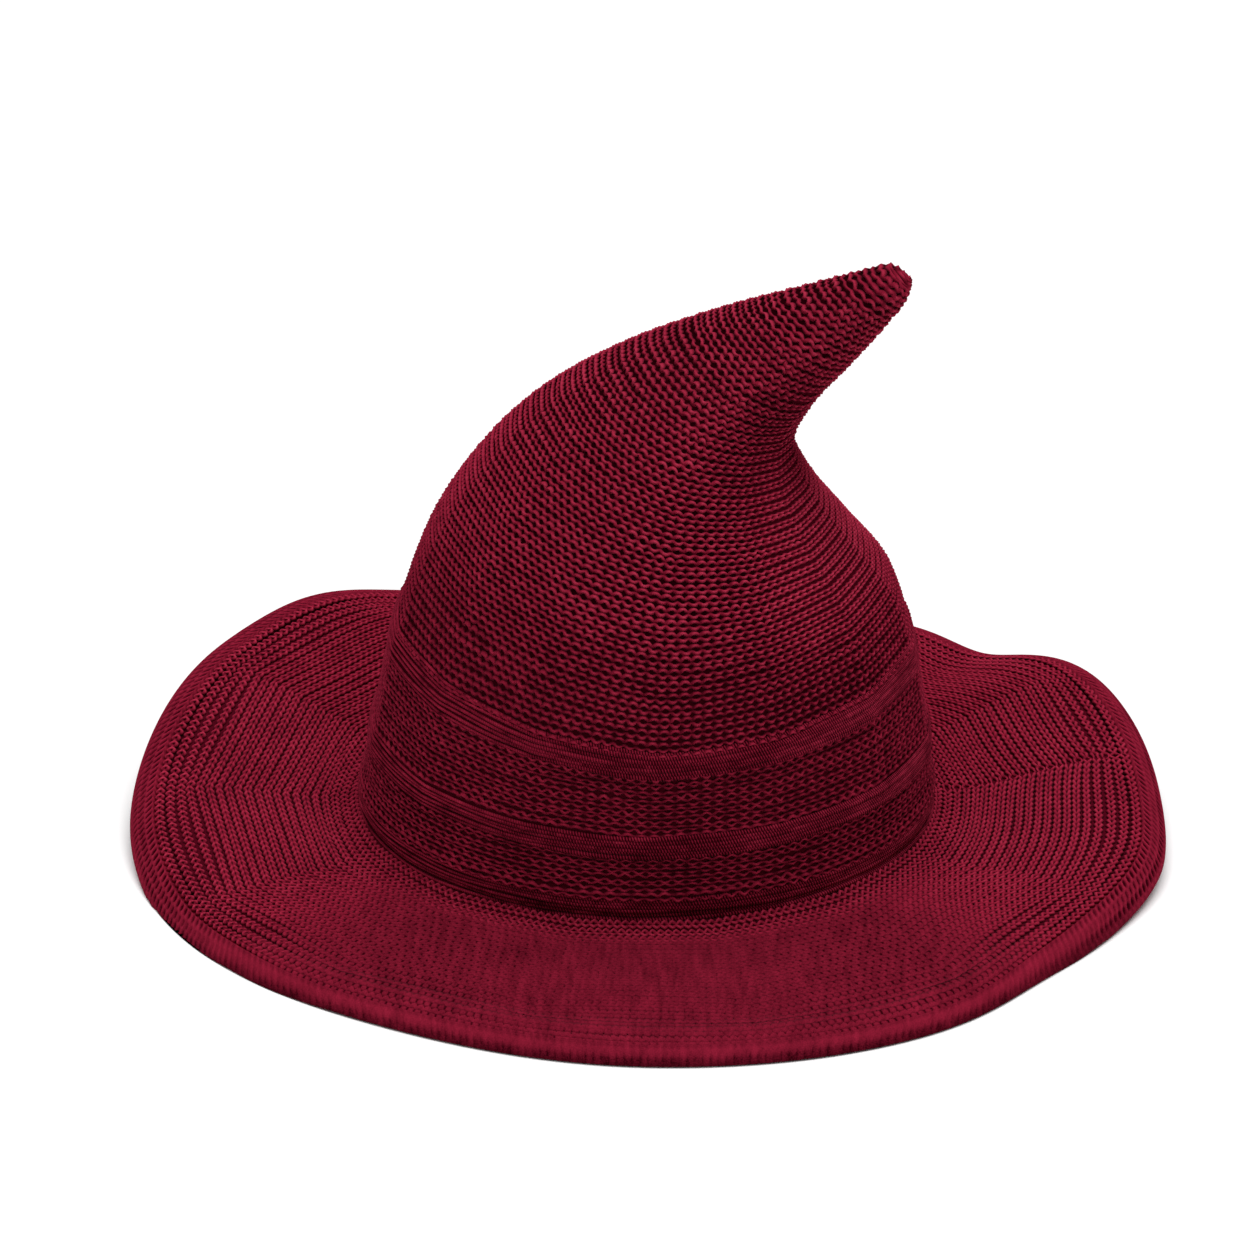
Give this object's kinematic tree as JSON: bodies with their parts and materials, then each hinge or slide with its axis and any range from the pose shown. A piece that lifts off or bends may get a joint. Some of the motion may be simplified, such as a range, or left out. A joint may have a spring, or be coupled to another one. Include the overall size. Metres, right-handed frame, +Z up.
{
  "type": "knitted wizard hat",
  "caption": "Knitted wine-red wizard hat with a bent, tapering peak, raised welts round the crown and a wavy brim with a folded hem, hollow and open for a head.",
  "frame": {"origin": "middle of the hat's box, on the surface that the brim's hem rests on", "axes": "+Z up, -Y the front of the hat as the picture shows it, +X the way the peak bends"},
  "size_m": [0.3498, 0.3358, 0.2015],
  "materials": {
    "knitted_yarn": "matt knitted yarn, wine red"
  },
  "bodies": {
    "root": {"crown": "knitted_yarn", "brim": "knitted_yarn", "brim_hem": "knitted_yarn"}
  },
  "joints": []
}
